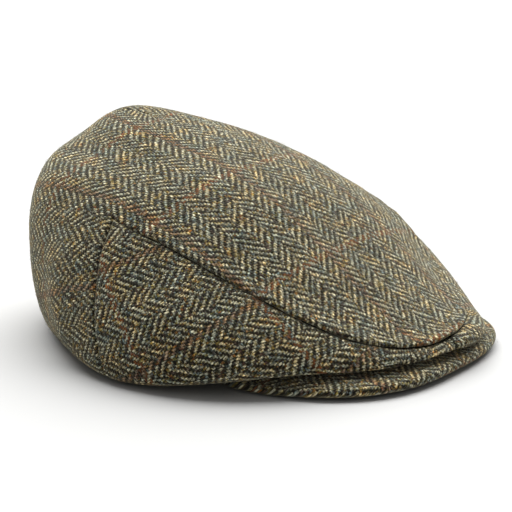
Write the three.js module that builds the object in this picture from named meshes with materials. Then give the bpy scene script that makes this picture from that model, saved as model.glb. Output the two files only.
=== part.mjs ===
// A flat cap of herringbone tweed, built as it is sewn: a top panel that runs down the back to the hem,
// a side panel on each side, which meet as a narrow strip at the front, and a stiff peak under that strip.
// Millimetres, +Z up. The front is -Y and the wearer's right is -X.
// The origin is on the surface that the cap rests on, below the middle of the cap's length and width.
import * as THREE from "three";

// The head opening
const HEAD_LENGTH = 204;
const HEAD_WIDTH = 164;
// The crown, measured from the middle of the head opening and up from the resting surface
const CROWN_FRONT = 134;
const CROWN_BACK = 124;
const CROWN_SIDE = 120;
const CROWN_HEIGHT = 115;
// How far the top drops from its middle line to the sides
const CROWN_CAMBER = 18;
// The exponent of the curve where the top is nearly flat, and how late it takes over from that of the sides
const TOP_ROUNDNESS = 2.8;
const TOP_FADE = 3;
// The cloth, which is tweed with its backing, and the gap between two sewn edges
const CLOTH = 2;
const SEAM_GAP = 0.3;
// The cloth rolls in under the crown. The roll starts down the wall by at least ROLL_DEPTH, or by a share of the
// wall's height where that is more, and runs out flat over a share of the way in to the flat hem.
const ROLL_DEPTH = 8;
const ROLL_SHARE = 0.38;
const ROLL_RUNOUT = 0.75;
const HEM_FLAT = 8;
// The hem is lifted over the peak at the front and comes down to the surface at the sides, in degrees from the front
const HEM_LIFT = 12.5;
const HEM_LIFT_FROM = 30;
const HEM_LIFT_TO = 94;
// The rear seam of a side panel, at its corner with the long top seam and at the hem, in degrees from the front
const CORNER_AROUND = 108;
const REAR_SEAM_AROUND = 94;
// The deepest dent of the crown
const DENT_DEPTH = 5;
// The peak, whose outline is a squarish oval about the middle of the head opening
const PEAK_REACH = 139.5;
const PEAK_WIDTH = 198;
const PEAK_SQUARENESS = 2.8;
const PEAK_THICKNESS = 5.5;
const PEAK_END_THICKNESS = 4.2;
const PEAK_END_AROUND = 64;
// The plan of the peak's two ends: how close they come to a point, and how sharply they turn in to it
const PEAK_END_TAPER = 0.97;
const PEAK_END_SHARPNESS = 8;
// The underside of the peak's outer edge, at the middle of the front and towards the sides
const PEAK_FRONT_RISE = 2.5;
const PEAK_SIDE_RISE = 0.3;
// How far the peak's root stands back from the edge of the head opening
const PEAK_ROOT_SETBACK = 1;

// The crown from the front to the back. reach is a share of the oval of CROWN_FRONT, CROWN_SIDE and CROWN_BACK,
// widest is the height of the widest line as a share of CROWN_HEIGHT, roundness is the exponent of the side's
// curve, and seam is the place of the long seam as a share of the way from the widest line to the middle of the top.
const SECTIONS = [
  { around: 0, reach: 1.008, widest: 0.12, roundness: 1.55, seam: 0.17 },
  { around: 30, reach: 0.973, widest: 0.112, roundness: 2.2, seam: 0.275 },
  { around: 60, reach: 1.0, widest: 0.13, roundness: 2.525, seam: 0.443 },
  { around: 90, reach: 1.0, widest: 0.07, roundness: 2.8, seam: 0.495 },
  { around: 120, reach: 0.955, widest: 0.28, roundness: 2.75, seam: 0.425 },
  { around: 150, reach: 0.976, widest: 0.51, roundness: 2.75, seam: 0.385 },
  { around: 180, reach: 1.0, widest: 0.548, roundness: 2.95, seam: 0.375 },
];

// The middle line of the top from front to back. along is a share of half the crown's length,
// and height is a share of CROWN_HEIGHT. Its last row is carried down by the curve of the back.
const RIDGE = [
  { along: -1, height: 0.284 },
  { along: -0.5, height: 0.642 },
  { along: 0, height: 0.864 },
  { along: 0.5, height: 1.025 },
  { along: 1, height: 1.235 },
];

// Dents and soft folds, a Gaussian each. around is in degrees, towards the wearer's right, rise is a share of the
// way up as in SECTIONS, wide and tall are its spread in the same units, and depth is a share of DENT_DEPTH,
// below nought where the cloth stands out.
const DENTS = [
  { around: 156, rise: 0.45, wide: 12, tall: 0.08, depth: 1.0 },
  { around: 140, rise: 0.55, wide: 12, tall: 0.07, depth: 0.6 },
  { around: 124, rise: 0.66, wide: 14, tall: 0.07, depth: 0.35 },
  { around: 155, rise: 0.24, wide: 12, tall: 0.1, depth: -0.15 },
  { around: -172, rise: 0.52, wide: 13, tall: 0.1, depth: -0.6 },
  { around: 172, rise: 0.34, wide: 9, tall: 0.08, depth: 0.6 },
  { around: 116, rise: 0.06, wide: 5, tall: 0.2, depth: -0.3 },
  { around: 127, rise: 0.04, wide: 7, tall: 0.2, depth: 0.5 },
  { around: 84, rise: 0.37, wide: 6, tall: 0.05, depth: 0.3 },
  { around: 62, rise: 0.36, wide: 6, tall: 0.05, depth: 0.25 },
  { around: -148, rise: 0.5, wide: 14, tall: 0.08, depth: 0.5 },
  { around: -122, rise: 0.05, wide: 8, tall: 0.2, depth: 0.4 },
  { around: -74, rise: 0.36, wide: 7, tall: 0.05, depth: 0.3 },
  { around: 20, rise: 0.12, wide: 14, tall: 0.12, depth: -0.2 },
  { around: -15, rise: 0.025, wide: 10, tall: 0.19, depth: -1.1 },
  { around: -34, rise: 0.31, wide: 14, tall: 0.13, depth: 0.6 },
];

// How finely the cloth is divided
const SIDE_COLUMNS = 26;
const BACK_COLUMNS = 26;
const TOP_ROWS = 14;
const WALL_ROWS = 5;
const UNDER_ROWS = [-1, -0.75, -0.6, -0.45, -0.3, -0.15];
const HEM_SHARE = 0.25;
const PEAK_STATIONS = 44;
const PEAK_ROWS = 5;
const PEAK_ARC_STEPS = 3;
// The small steps that slopes are measured over, and the highest place where they are
const STEP_AROUND = 0.5;
const STEP_RISE = 0.004;
const HIGHEST_RISE = 0.99;

const TURN = 360;
const RIGHT_ANGLE = 90;
const radians = THREE.MathUtils.degToRad;
const clamp = THREE.MathUtils.clamp;
const lerp = THREE.MathUtils.lerp;

// A smooth value round the crown, the same on both sides, from one column of SECTIONS: a cosine series.
function roundTheCrown(column) {
  const last = SECTIONS.length - 1;
  const terms = SECTIONS.map((unused, k) => {
    const total = SECTIONS.reduce((sum, row, i) => {
      const weight = i === 0 || i === last ? 0.5 : 1;
      return sum + weight * row[column] * Math.cos(k * radians(row.around));
    }, 0);
    return ((k === 0 || k === last ? 1 : 2) * total) / last;
  });
  return (around) => terms.reduce((sum, term, k) => sum + term * Math.cos(k * radians(around)), 0);
}

const reachShare = roundTheCrown("reach");
const widestShare = roundTheCrown("widest");
const roundness = roundTheCrown("roundness");
const seamShare = roundTheCrown("seam");

// The distance from the middle to an oval of the two half sizes
function oval(alongY, alongX, around) {
  return 1 / Math.hypot(Math.cos(radians(around)) / alongY, Math.sin(radians(around)) / alongX);
}

function isAhead(around) {
  return Math.cos(radians(around)) > 0;
}

function crownReach(around) {
  return reachShare(around) * oval(isAhead(around) ? CROWN_FRONT : CROWN_BACK, CROWN_SIDE, around);
}

function openingReach(around) {
  return oval(HEAD_LENGTH / 2, HEAD_WIDTH / 2, around);
}

// The smooth curve of the middle line through the rows of RIDGE
function ridgeHeight(y) {
  const along = y / ((CROWN_FRONT + CROWN_BACK) / 2);
  return RIDGE.reduce((sum, row) => {
    const others = RIDGE.filter((other) => other !== row);
    const weight = others.reduce((part, other) => (part * (along - other.along)) / (row.along - other.along), 1);
    return sum + weight * row.height * CROWN_HEIGHT;
  }, 0);
}

// Degrees from the front, without a sign
function fromFront(around) {
  const turned = ((around % TURN) + TURN) % TURN;
  return Math.min(turned, TURN - turned);
}

function hemHeight(around) {
  return HEM_LIFT * (1 - THREE.MathUtils.smoothstep(fromFront(around), HEM_LIFT_FROM, HEM_LIFT_TO));
}

function place(around, reach, z) {
  return new THREE.Vector3(-Math.sin(radians(around)) * reach, -Math.cos(radians(around)) * reach, z);
}

// The crown above its widest line, with rise from 0 there to 1 at the middle of the top, where it is nearly flat
function upperCrown(around, rise) {
  const share = Math.cos(radians(rise * RIGHT_ANGLE));
  const bend = lerp(roundness(around), TOP_ROUNDNESS, (1 - share) ** TOP_FADE);
  const spot = place(around, crownReach(around) * share, 0);
  const widest = widestShare(around) * CROWN_HEIGHT;
  const top = ridgeHeight(spot.y) - CROWN_CAMBER * (spot.x / CROWN_SIDE) ** 2;
  spot.z = widest + (top - widest) * Math.sqrt(Math.max(0, 1 - share ** bend));
  return spot;
}

// The cloth below the widest line: a roll inwards, drawn as a cubic curve, and the flat hem
function lowerCrown(around, down) {
  const widest = widestShare(around) * CROWN_HEIGHT;
  const hem = hemHeight(around);
  const outer = crownReach(around);
  const inner = openingReach(around) + HEM_FLAT;
  const drop = widest - hem;
  const curl = Math.min(drop, lerp(ROLL_DEPTH, drop, ROLL_SHARE));
  const roll = new THREE.CubicBezierCurve(
    new THREE.Vector2(outer, widest),
    new THREE.Vector2(outer, widest - curl),
    new THREE.Vector2(lerp(inner, outer, ROLL_RUNOUT), hem),
    new THREE.Vector2(inner, hem),
  );
  const turned = roll.getPoint(clamp(down / (1 - HEM_SHARE), 0, 1));
  const onHem = clamp((down - 1 + HEM_SHARE) / HEM_SHARE, 0, 1);
  return place(around, turned.x - HEM_FLAT * onHem, turned.y);
}

function smoothCrown(around, rise) {
  return rise >= 0 ? upperCrown(around, rise) : lowerCrown(around, -rise);
}

// Unit normal of a surface by small steps, pointing out of the cloth
function normalOf(surface, around, rise) {
  const level = clamp(rise, -1 + STEP_RISE, HIGHEST_RISE);
  const up = surface(around, level + STEP_RISE).sub(surface(around, level - STEP_RISE));
  const on = surface(around + STEP_AROUND, level).sub(surface(around - STEP_AROUND, level));
  return up.cross(on).normalize();
}

function dentDepth(around, rise) {
  return DENTS.reduce((sum, dent) => {
    const aside = fromFront(around - dent.around) / dent.wide;
    const above = (rise - dent.rise) / dent.tall;
    return sum + dent.depth * DENT_DEPTH * Math.exp(-(aside * aside + above * above) / 2);
  }, 0);
}

// The finished outer face of the crown. The hem stays flat, so dents stop at the widest line.
function crown(around, rise) {
  const spot = smoothCrown(around, rise);
  const fade = clamp(1 + rise / (1 - HEM_SHARE), 0, 1);
  const depth = dentDepth(around, rise) * fade;
  return spot.addScaledVector(normalOf(smoothCrown, around, rise), -depth);
}

// How much a millimetre is worth in rise or in degrees at a place on the crown
function riseOf(length, around, rise) {
  const span = crown(around, rise + STEP_RISE).distanceTo(crown(around, rise - STEP_RISE));
  return (length * 2 * STEP_RISE) / span;
}

function degreesOf(length, around, rise) {
  const span = crown(around + STEP_AROUND, rise).distanceTo(crown(around - STEP_AROUND, rise));
  return (length * 2 * STEP_AROUND) / span;
}

// Closes a sheet of cloth into a wall: its inner face lies one thickness in, and walls join the open edges.
function clothMesh(name, spots, faces, thickness, material) {
  const count = spots.length;
  const positions = [];
  for (const spot of spots) positions.push(...crown(...spot).toArray());
  for (const spot of spots) {
    const inward = normalOf(crown, ...spot).multiplyScalar(-thickness);
    positions.push(...crown(...spot).add(inward).toArray());
  }
  const edges = new Set(faces.flatMap(([a, b, c]) => [`${a} ${b}`, `${b} ${c}`, `${c} ${a}`]));
  const index = faces.flatMap(([a, b, c]) => [a, b, c, c + count, b + count, a + count]);
  for (const edge of edges) {
    const [a, b] = edge.split(" ").map(Number);
    if (edges.has(`${b} ${a}`)) continue;
    index.push(b, a, a + count, b, a + count, b + count);
  }
  return meshOf(name, positions, index, material);
}

function meshOf(name, positions, index, material) {
  const geometry = new THREE.BufferGeometry();
  geometry.setAttribute("position", new THREE.Float32BufferAttribute(positions, 3));
  geometry.setIndex(index);
  geometry.computeVertexNormals();
  const mesh = new THREE.Mesh(geometry, material);
  mesh.name = name;
  return mesh;
}

// Two triangles for each cell of a grid of columns and rows, whose vertex numbers at(column, row) gives
function gridFaces(columns, rows, at) {
  const faces = [];
  for (let i = 0; i < columns; i++) {
    for (let k = 0; k < rows; k++) {
      faces.push([at(i, k), at(i, k + 1), at(i + 1, k + 1)]);
      faces.push([at(i, k), at(i + 1, k + 1), at(i + 1, k)]);
    }
  }
  return faces;
}

// Levels of a side panel and of the back, from -1 at the hem through 0 at the widest line to 1 at the seam
const LEVELS = [...UNDER_ROWS];
for (let k = 0; k <= WALL_ROWS; k++) LEVELS.push(k / WALL_ROWS);

const CORNER_RISE = seamShare(CORNER_AROUND);

function rearSeam(level) {
  return lerp(REAR_SEAM_AROUND, CORNER_AROUND, Math.max(0, level));
}

function riseAt(level, seamRise) {
  return level < 0 ? level : level * seamRise;
}

// A side panel. side is 1 on the wearer's right and -1 on the left.
function sidePanel(name, side, material) {
  const spots = [];
  for (let i = 0; i <= SIDE_COLUMNS; i++) {
    const share = i / SIDE_COLUMNS;
    const seamRise = seamShare(share * CORNER_AROUND);
    for (const level of LEVELS) {
      let around = side * share * rearSeam(level);
      let rise = riseAt(level, seamRise);
      if (i === 0) around += side * degreesOf(SEAM_GAP / 2, around, rise);
      if (i === SIDE_COLUMNS) around -= side * degreesOf(SEAM_GAP / 2, around, rise);
      if (level === 1) rise -= riseOf(SEAM_GAP / 2, around, rise);
      spots.push([around, rise]);
    }
  }
  const rows = LEVELS.length;
  const faces = gridFaces(SIDE_COLUMNS, rows - 1, (i, k) => i * rows + k);
  if (side < 0) faces.forEach((face) => face.reverse());
  return clothMesh(name, spots, faces, CLOTH, material);
}

// The top panel: rings from the long seams up to the middle of the top, and the back below the two corners
function topPanel(name, material) {
  const spots = [];
  const backSpan = TURN - 2 * CORNER_AROUND;
  const columns = 2 * SIDE_COLUMNS + BACK_COLUMNS;
  for (let i = 0; i < columns; i++) {
    const ahead = i <= 2 * SIDE_COLUMNS;
    const around = ahead
      ? (i / SIDE_COLUMNS - 1) * CORNER_AROUND
      : CORNER_AROUND + ((i - 2 * SIDE_COLUMNS) / BACK_COLUMNS) * backSpan;
    const seamRise = ahead ? seamShare(around) : CORNER_RISE;
    const gap = ahead ? riseOf(SEAM_GAP / 2, around, seamRise) : 0;
    for (let k = 0; k < TOP_ROWS; k++) spots.push([around, lerp(seamRise + gap, 1, k / TOP_ROWS)]);
  }
  const middle = spots.push([0, 1]) - 1;
  const faces = gridFaces(columns, TOP_ROWS - 1, (i, k) => (i % columns) * TOP_ROWS + k);
  for (let i = 0; i < columns; i++) {
    faces.push([(i + 1) * TOP_ROWS - 1, middle, ((i + 1) % columns) * TOP_ROWS + TOP_ROWS - 1]);
  }
  const backStart = spots.length;
  const backRows = LEVELS.length - 1;
  for (let i = 0; i <= BACK_COLUMNS; i++) {
    for (let k = 0; k < backRows; k++) {
      const level = LEVELS[k];
      const rise = riseAt(level, CORNER_RISE);
      const seam = rearSeam(level) + degreesOf(SEAM_GAP / 2, rearSeam(level), rise);
      spots.push([lerp(seam, TURN - seam, i / BACK_COLUMNS), rise]);
    }
  }
  const at = (i, k) =>
    k < backRows ? backStart + i * backRows + k : ((i + 2 * SIDE_COLUMNS) % columns) * TOP_ROWS;
  faces.push(...gridFaces(BACK_COLUMNS, backRows, at));
  return clothMesh(name, spots, faces, CLOTH, material);
}

// The squarish outline of the peak
function peakReach(around) {
  const ahead = Math.abs(Math.cos(radians(around)) / PEAK_REACH) ** PEAK_SQUARENESS;
  const aside = Math.abs(Math.sin(radians(around)) / (PEAK_WIDTH / 2)) ** PEAK_SQUARENESS;
  return (ahead + aside) ** (-1 / PEAK_SQUARENESS);
}

// The closed section of the peak at an angle: out along its upper face, round its edge and back below
function peakSection(around) {
  const share = (PEAK_END_TAPER * Math.abs(around)) / PEAK_END_AROUND;
  const taper = Math.sqrt(1 - share ** PEAK_END_SHARPNESS);
  const thickness = lerp(PEAK_THICKNESS, PEAK_END_THICKNESS, share * share);
  const root = openingReach(around) + PEAK_ROOT_SETBACK;
  const edge = lerp(root, peakReach(around), taper) - thickness / 2;
  const rootTop = hemHeight(around) - SEAM_GAP;
  const turn = Math.cos(radians(around)) ** 2;
  const edgeTop = Math.min(lerp(PEAK_SIDE_RISE, PEAK_FRONT_RISE, turn) + thickness, rootTop);
  const upper = [];
  const lower = [];
  for (let k = 0; k <= PEAK_ROWS; k++) {
    const out = k / PEAK_ROWS;
    const top = lerp(rootTop, edgeTop, out * out);
    upper.push(place(around, lerp(root, edge, out), top));
    lower.push(place(around, lerp(root, edge, out), top - thickness));
  }
  for (let k = 1; k <= PEAK_ARC_STEPS; k++) {
    const bend = radians((k / PEAK_ARC_STEPS) * RIGHT_ANGLE);
    const out = edge + (thickness / 2) * Math.sin(bend);
    const half = (thickness / 2) * Math.cos(bend);
    const middle = edgeTop - thickness / 2;
    upper.push(place(around, out, middle + half));
    lower.push(place(around, out, middle - half));
  }
  lower.pop();
  return [...upper, ...lower.reverse()];
}

function peakMesh(name, material) {
  const positions = [];
  const size = 2 * (PEAK_ROWS + PEAK_ARC_STEPS) + 1;
  for (let i = 0; i <= PEAK_STATIONS; i++) {
    const around = lerp(-PEAK_END_AROUND, PEAK_END_AROUND, i / PEAK_STATIONS);
    for (const point of peakSection(around)) positions.push(...point.toArray());
  }
  const faces = gridFaces(PEAK_STATIONS, size, (i, k) => i * size + (k % size));
  faces.forEach((face) => face.reverse());
  const end = PEAK_STATIONS * size;
  for (let k = 0; k < PEAK_ROWS + PEAK_ARC_STEPS; k++) {
    const ring = [k, k + 1, size - 2 - k, size - 1 - k];
    const half = [[ring[0], ring[2], ring[3]]];
    if (ring[1] !== ring[2]) half.push([ring[0], ring[1], ring[2]]);
    for (const [a, b, c] of half) faces.push([a, b, c], [c + end, b + end, a + end]);
  }
  return meshOf(name, positions, faces.flat(), material);
}

function tweed(color) {
  return new THREE.MeshStandardMaterial({ color, roughness: 0.95, metalness: 0 });
}

const cap = new THREE.Group();
cap.name = "flat_cap";
cap.position.y = (PEAK_REACH - CROWN_BACK) / 2;
cap.add(topPanel("top_panel", tweed(0x8f8a79)));
cap.add(sidePanel("side_panel_right", 1, tweed(0x7d796a)));
cap.add(sidePanel("side_panel_left", -1, tweed(0x7d796a)));
cap.add(peakMesh("peak", tweed(0x77736a)));

export default cap;
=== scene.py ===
"""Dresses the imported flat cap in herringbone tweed: the top panel, two side panels, the peak and loose fibres."""

import math

import bmesh
import bpy
import numpy as np
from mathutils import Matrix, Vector, noise
from mathutils.kdtree import KDTree


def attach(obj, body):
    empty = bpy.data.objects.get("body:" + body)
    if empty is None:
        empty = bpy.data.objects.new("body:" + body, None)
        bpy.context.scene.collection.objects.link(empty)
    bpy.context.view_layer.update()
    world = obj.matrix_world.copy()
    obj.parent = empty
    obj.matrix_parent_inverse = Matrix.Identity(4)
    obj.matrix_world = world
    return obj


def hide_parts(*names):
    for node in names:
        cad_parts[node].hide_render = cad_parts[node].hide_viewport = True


bl_info = {
    "name": "Tweed Flat Cap",
    "version": (1, 0, 0),
    "blender": (4, 5, 0),
    "location": "View3D > Sidebar > Flat Cap",
    "description": "Builds the cloth panels, peak and stage of a herringbone tweed flat cap",
    "category": "Object",
}

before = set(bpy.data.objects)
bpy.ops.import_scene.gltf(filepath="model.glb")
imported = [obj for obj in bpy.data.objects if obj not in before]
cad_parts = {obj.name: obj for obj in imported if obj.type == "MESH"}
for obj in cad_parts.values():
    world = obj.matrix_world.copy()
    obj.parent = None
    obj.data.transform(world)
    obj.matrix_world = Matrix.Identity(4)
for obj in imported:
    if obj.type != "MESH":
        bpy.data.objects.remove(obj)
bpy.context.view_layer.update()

# The crown in steps of 30 degrees from the front to the back, as in the solids: its reach as a share of the oval,
# the height of its widest line as a share of the crown's, the roundness of its curve, and the place of the long seam.
STEP_OF_SECTIONS = 30
SECTIONS = {
    "reach": (1.008, 0.973, 1.0, 1.0, 0.955, 0.976, 1.0),
    "widest": (0.12, 0.112, 0.13, 0.07, 0.28, 0.51, 0.548),
    "roundness": (1.55, 2.2, 2.525, 2.8, 2.75, 2.75, 2.95),
    "seam": (0.17, 0.275, 0.443, 0.495, 0.425, 0.385, 0.375),
}
# The middle line of the top: shares of half the length, and of the height
RIDGE_ALONG = (-1, -0.5, 0, 0.5, 1)
RIDGE_HEIGHT = (0.284, 0.642, 0.864, 1.025, 1.235)
# Dents and soft folds: degrees round, rise, spread round, spread up, share of the deepest dent
DENTS = (
    (156, 0.45, 12, 0.08, 1.0),
    (140, 0.55, 12, 0.07, 0.6),
    (124, 0.66, 14, 0.07, 0.35),
    (155, 0.24, 12, 0.1, -0.15),
    (-172, 0.52, 13, 0.1, -0.6),
    (172, 0.34, 9, 0.08, 0.6),
    (116, 0.06, 5, 0.2, -0.3),
    (127, 0.04, 7, 0.2, 0.5),
    (84, 0.37, 6, 0.05, 0.3),
    (62, 0.36, 6, 0.05, 0.25),
    (-148, 0.5, 14, 0.08, 0.5),
    (-122, 0.05, 8, 0.2, 0.4),
    (-74, 0.36, 7, 0.05, 0.3),
    (20, 0.12, 14, 0.12, -0.2),
    (-15, 0.025, 10, 0.19, -1.1),
    (-34, 0.31, 14, 0.13, 0.6),
)
TOP_ROUNDNESS = 2.8
TOP_FADE = 3
ROLL_SHARE = 0.38
ROLL_RUNOUT = 0.75
HEM_SHARE = 0.25
CORNER_AROUND = 108
REAR_SEAM_AROUND = 94
HEM_LIFT_FROM = 30
HEM_LIFT_TO = 94
PEAK_SQUARENESS = 2.8
PEAK_END_AROUND = 64
PEAK_END_TAPER = 0.97
PEAK_END_SHARPNESS = 8
STEP_AROUND = 0.5
STEP_RISE = 0.004
HIGHEST_RISE = 0.99
LINE_POINTS = 500


def linear(text):
    """The linear colour of an sRGB hex value."""
    parts = [int(text[i : i + 2], 16) / 255 for i in (1, 3, 5)]
    return [p / 12.92 if p <= 0.04045 else ((p + 0.055) / 1.055) ** 2.4 for p in parts] + [1.0]


def length(name, description, default):
    return bpy.props.FloatProperty(name=name, description=description, default=default, unit="LENGTH", precision=4)


def colour(name, description, text):
    return bpy.props.FloatVectorProperty(
        name=name, description=description, default=linear(text), subtype="COLOR", size=4, min=0, max=1
    )


def yarns(name, description, default):
    return bpy.props.IntProperty(name=name, description=description, default=default, min=4)


class CapSizes(bpy.types.PropertyGroup):
    """The sizes of the cap, in metres."""

    head_length: length("Head length", "Length of the head opening", 0.204)
    head_width: length("Head width", "Width of the head opening", 0.164)
    crown_front: length("Crown front", "From the middle of the opening to the front of the crown", 0.134)
    crown_back: length("Crown back", "From the middle of the opening to the back of the crown", 0.124)
    crown_side: length("Crown side", "From the middle of the opening to the side of the crown", 0.120)
    crown_height: length("Crown height", "Height that the crown's shares are counted in", 0.115)
    camber: length("Camber", "Drop of the top from its middle line to the sides", 0.018)
    cloth: length("Cloth", "Thickness of the tweed and its backing", 0.002)
    seam_gap: length("Seam gap", "Gap between two sewn edges", 0.0001)
    seam_round: length("Seam rounding", "Radius of a turned-in cloth edge", 0.0027)
    roll_depth: length("Roll depth", "Least depth of the roll under the crown", 0.008)
    hem_flat: length("Hem", "Width of the flat hem", 0.008)
    hem_lift: length("Hem lift", "Height of the hem over the peak", 0.0125)
    dent: length("Dent", "Depth of the deepest dent", 0.005)
    peak_reach: length("Peak reach", "From the middle of the opening to the peak's edge", 0.1395)
    peak_width: length("Peak width", "Width of the peak's outline", 0.198)
    peak_thickness: length("Peak thickness", "Thickness of the peak at its middle", 0.0055)
    peak_end_thickness: length("Peak end thickness", "Thickness of the peak at its ends", 0.0042)
    peak_front_rise: length("Peak front rise", "Height of the peak's lower edge at the front", 0.0025)
    peak_side_rise: length("Peak side rise", "Height of the peak's lower edge at the sides", 0.0003)
    peak_setback: length("Peak setback", "From the opening's edge out to the peak's root", 0.001)
    fibre: length("Fibre", "Thickness of a loose wool fibre", 0.00007)


class CapCloth(bpy.types.PropertyGroup):
    """The weave and colours of the tweed."""

    yarn: length("Yarn", "From one yarn to the next", 0.00122)
    stripe: yarns("Stripe", "Yarns in one stripe of the herringbone", 8)
    check_across: yarns("Check across", "Yarns from one rust warp line to the next", 48)
    check_along: yarns("Check along", "Yarns from one rust weft line to the next", 58)
    light_a: colour("Light yarn", "Stone grey of the light yarn", "#9C977F")
    pale: colour("Pale yarn", "Palest wool of the light yarn", "#BAB59C")
    light_b: colour("Mustard", "Mustard in the light yarn", "#7E7039")
    light_c: colour("Slate blue", "Slate blue in the light yarn", "#5F6A66")
    dark_a: colour("Dark yarn", "Near black brown of the dark yarn", "#1E1A11")
    dark_b: colour("Dark green", "Deep green in the dark yarn", "#2F3529")
    dark_c: colour("Mauve brown", "Mauve brown in the dark yarn", "#40312A")
    rust: colour("Rust", "Rust flecks and check lines", "#744220")
    fuzz: colour("Fuzz", "Halo of fine fibres over the cloth", "#E6DDBE")


class Crown:
    """The outer face of the crown, from the same rows as the solids. Angles are in degrees from the front towards the
    wearer's right, and rise runs from -1 at the hem through 0 at the widest line to 1 at the middle of the top."""

    def __init__(self, s):
        self.s = s
        self.shift = (s.peak_reach - s.crown_back) / 2
        rows = len(SECTIONS["reach"])
        last = rows - 1
        self.order = np.arange(rows)
        weights = np.where((self.order == 0) | (self.order == last), 0.5, 1.0)
        waves = np.cos(np.radians(STEP_OF_SECTIONS) * np.outer(self.order, self.order))
        self.terms = {key: 2 / last * weights * (waves @ (weights * values)) for key, values in SECTIONS.items()}

    def round(self, key, around):
        return np.cos(np.multiply.outer(np.radians(around), self.order)) @ self.terms[key]

    def oval(self, along, across, around):
        return 1 / np.hypot(np.cos(np.radians(around)) / along, np.sin(np.radians(around)) / across)

    def reach(self, around):
        ahead = np.cos(np.radians(around)) > 0
        end = np.where(ahead, self.s.crown_front, self.s.crown_back)
        return self.round("reach", around) * self.oval(end, self.s.crown_side, around)

    def opening(self, around):
        return self.oval(self.s.head_length / 2, self.s.head_width / 2, around)

    def widest(self, around):
        return self.round("widest", around) * self.s.crown_height

    def seam(self, around):
        return self.round("seam", around)

    def ridge(self, y):
        along = y / ((self.s.crown_front + self.s.crown_back) / 2)
        total = np.zeros_like(along)
        for own, height in zip(RIDGE_ALONG, RIDGE_HEIGHT):
            part = np.full_like(along, height * self.s.crown_height)
            for other in RIDGE_ALONG:
                if other != own:
                    part = part * (along - other) / (own - other)
            total += part
        return total

    def hem(self, around):
        share = np.clip((from_front(around) - HEM_LIFT_FROM) / (HEM_LIFT_TO - HEM_LIFT_FROM), 0, 1)
        return self.s.hem_lift * (1 - share * share * (3 - 2 * share))

    def place(self, around, reach, z):
        turned = np.radians(around)
        return np.stack([-np.sin(turned) * reach, -np.cos(turned) * reach, z + 0 * reach], -1)

    def upper(self, around, rise):
        share = np.cos(np.clip(rise, 0, 1) * math.pi / 2)
        bend = self.round("roundness", around)
        bend = bend + (TOP_ROUNDNESS - bend) * (1 - share) ** TOP_FADE
        spot = self.place(around, self.reach(around) * share, 0.0)
        widest = self.widest(around)
        top = self.ridge(spot[..., 1]) - self.s.camber * (spot[..., 0] / self.s.crown_side) ** 2
        spot[..., 2] = widest + (top - widest) * np.sqrt(np.maximum(0, 1 - share**bend))
        return spot

    def lower(self, around, down):
        widest, hem, outer = self.widest(around), self.hem(around), self.reach(around)
        inner = self.opening(around) + self.s.hem_flat
        drop = widest - hem
        curl = np.minimum(drop, self.s.roll_depth + (drop - self.s.roll_depth) * ROLL_SHARE)
        t = np.clip(down / (1 - HEM_SHARE), 0, 1)
        u = 1 - t
        runout = inner + (outer - inner) * ROLL_RUNOUT
        reach = (u**3 + 3 * u * u * t) * outer + 3 * u * t * t * runout + t**3 * inner
        z = u**3 * widest + 3 * u * u * t * (widest - curl) + (3 * u * t * t + t**3) * hem
        on_hem = np.clip((down - 1 + HEM_SHARE) / HEM_SHARE, 0, 1)
        return self.place(around, reach - self.s.hem_flat * on_hem, z)

    def smooth(self, around, rise):
        return np.where((rise >= 0)[..., None], self.upper(around, rise), self.lower(around, -rise))

    def normal_of(self, surface, around, rise):
        level = np.clip(rise, STEP_RISE - 1, HIGHEST_RISE)
        up = surface(around, level + STEP_RISE) - surface(around, level - STEP_RISE)
        on = surface(around + STEP_AROUND, level) - surface(around - STEP_AROUND, level)
        out = np.cross(up, on)
        return out / np.linalg.norm(out, axis=-1, keepdims=True)

    def at(self, around, rise):
        """The finished outer face, with its dents, about the middle of the head opening."""
        around, rise = np.broadcast_arrays(np.asarray(around, float), np.asarray(rise, float))
        depth = np.zeros_like(rise)
        for where, height, wide, tall, share in DENTS:
            aside = from_front(around - where) / wide
            depth += share * self.s.dent * np.exp(-(aside**2 + ((rise - height) / tall) ** 2) / 2)
        depth *= np.clip(1 + rise / (1 - HEM_SHARE), 0, 1)
        return self.smooth(around, rise) - self.normal_of(self.smooth, around, rise) * depth[..., None]

    def normal(self, around, rise):
        return self.normal_of(self.at, around, rise)

    def rise_of(self, distance, around, rise):
        """How much a distance is worth in rise at a place on the crown."""
        span = self.at(around, rise + STEP_RISE) - self.at(around, rise - STEP_RISE)
        return distance * 2 * STEP_RISE / np.linalg.norm(span, axis=-1)

    def degrees_of(self, distance, around, rise):
        span = self.at(around + STEP_AROUND, rise) - self.at(around - STEP_AROUND, rise)
        return distance * 2 * STEP_AROUND / np.linalg.norm(span, axis=-1)

    def seam_lines(self, side):
        """Points along the long seam and the rear seam of one side."""
        around = np.linspace(0, CORNER_AROUND, LINE_POINTS)
        long_seam = self.at(side * around, self.seam(around))
        level = np.linspace(1, -1, LINE_POINTS)
        rear = self.at(side * rear_seam(level), rise_at(level, self.seam(CORNER_AROUND)))
        return long_seam, rear


def from_front(around):
    turned = np.mod(around, 360)
    return np.minimum(turned, 360 - turned)


def rear_seam(level):
    return REAR_SEAM_AROUND + (CORNER_AROUND - REAR_SEAM_AROUND) * np.maximum(0, level)


def rise_at(level, seam_rise):
    return np.where(level < 0, level, level * seam_rise)


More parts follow.
